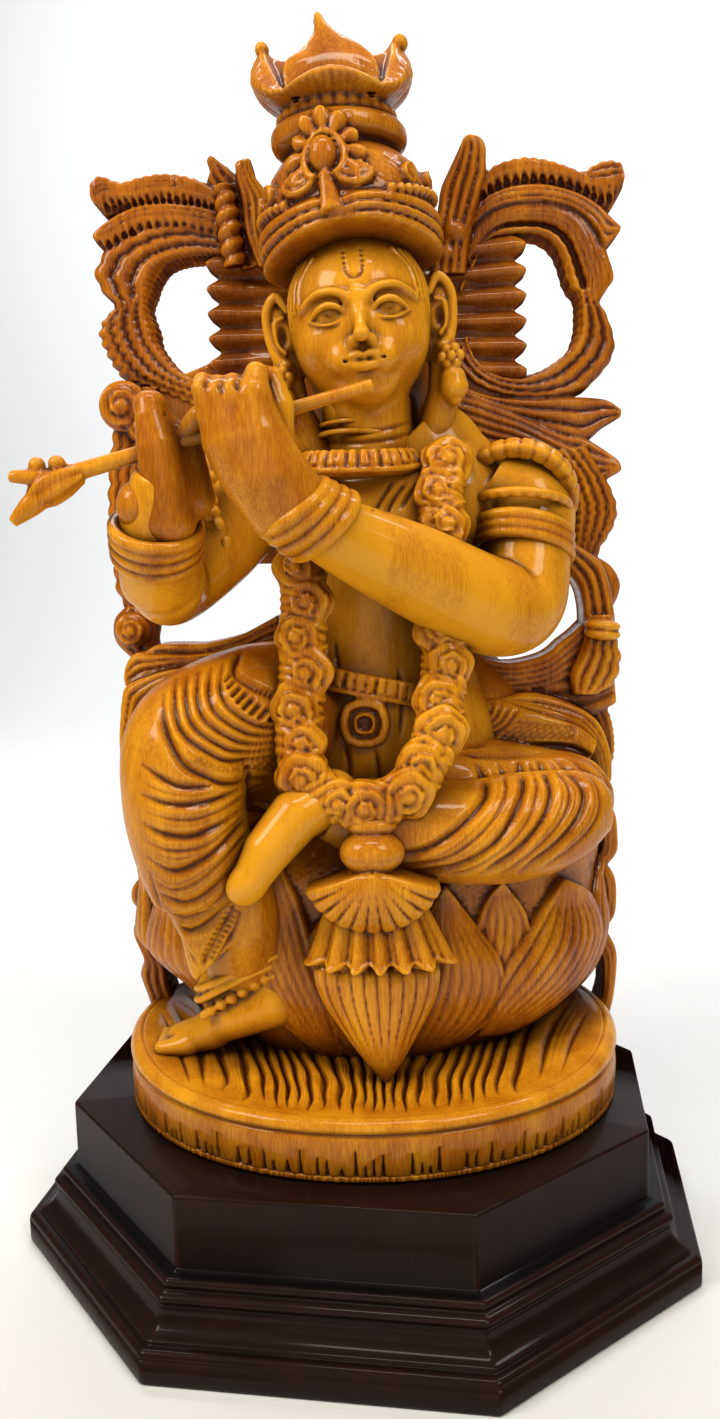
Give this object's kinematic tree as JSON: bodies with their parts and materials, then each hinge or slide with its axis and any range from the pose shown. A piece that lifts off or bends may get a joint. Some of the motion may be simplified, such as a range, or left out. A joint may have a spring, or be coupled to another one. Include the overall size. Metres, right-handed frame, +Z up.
{
  "type": "krishna figure",
  "caption": "Carved wooden figure of a seated flute player on a lotus seat before a pierced leafy arch, on a dark octagonal moulded plinth.",
  "frame": {"origin": "middle of the plinth's underside", "axes": "+Z up, -Y to the plinth's front, +X to the viewer's right; the carving is turned 6.9 degrees about +Z on the plinth"},
  "size_m": [0.2298, 0.2, 0.4091],
  "materials": {
    "honey_wood": "glossy amber varnish over pale carved wood",
    "flute_wood": "glossy amber varnish over a turned pale wood rod",
    "dark_wood": "semi-gloss near-black mahogany stain"
  },
  "bodies": {
    "root": {"carved_figure": "honey_wood", "flute": "flute_wood", "plinth": "dark_wood"}
  },
  "joints": []
}
